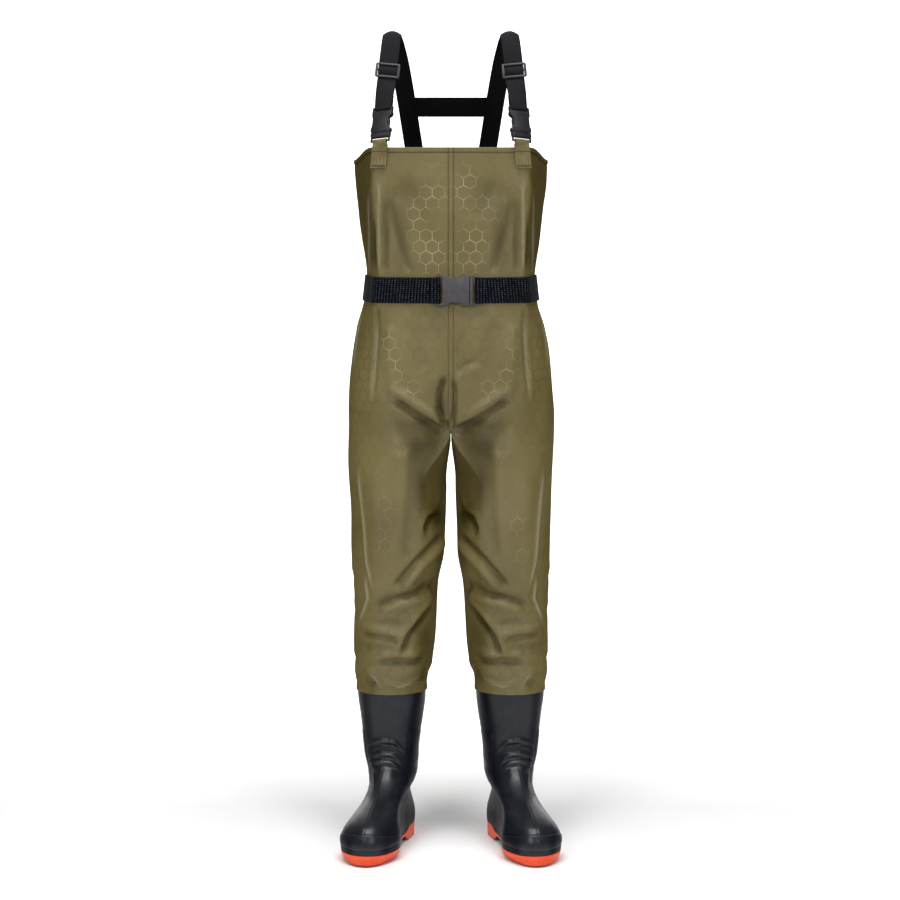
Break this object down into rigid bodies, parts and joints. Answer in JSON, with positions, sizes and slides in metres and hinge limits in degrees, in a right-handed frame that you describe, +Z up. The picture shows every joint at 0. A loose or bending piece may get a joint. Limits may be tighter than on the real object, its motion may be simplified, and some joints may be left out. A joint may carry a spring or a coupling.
{
  "type": "chest waders",
  "caption": "Chest waders: hollow olive coated-cloth bib and trousers with black moulded boots, orange lugged soles, webbing belt and buckled suspenders.",
  "frame": {"origin": "on the floor under the middle of the whole object's box", "axes": "+Z up along the garment, -Y to the front, +X to the wearer's left"},
  "size_m": [0.3884, 0.3626, 1.4548],
  "materials": {
    "olive_cloth": "coated, satin, embossed with a honeycomb",
    "boot_black": "satin moulded",
    "sole_orange": "matt moulded",
    "insole_felt": "felt",
    "webbing": "woven",
    "buckle_plastic": "fine texture"
  },
  "bodies": {
    "root": {"wader_body": "olive_cloth", "boot_upper_left": "boot_black", "sole_left": "sole_orange", "insole_left": "insole_felt", "strap_left": "webbing", "slider_left": "buckle_plastic", "strap_buckle_female_left": "buckle_plastic", "strap_buckle_male_left": "buckle_plastic", "tab_left": "olive_cloth", "boot_upper_right": "boot_black", "sole_right": "sole_orange", "insole_right": "insole_felt", "strap_right": "webbing", "slider_right": "buckle_plastic", "strap_buckle_female_right": "buckle_plastic", "strap_buckle_male_right": "buckle_plastic", "tab_right": "olive_cloth", "cross_strap": "webbing", "belt": "webbing", "belt_buckle_female": "buckle_plastic", "belt_buckle_male": "buckle_plastic"}
  },
  "joints": []
}
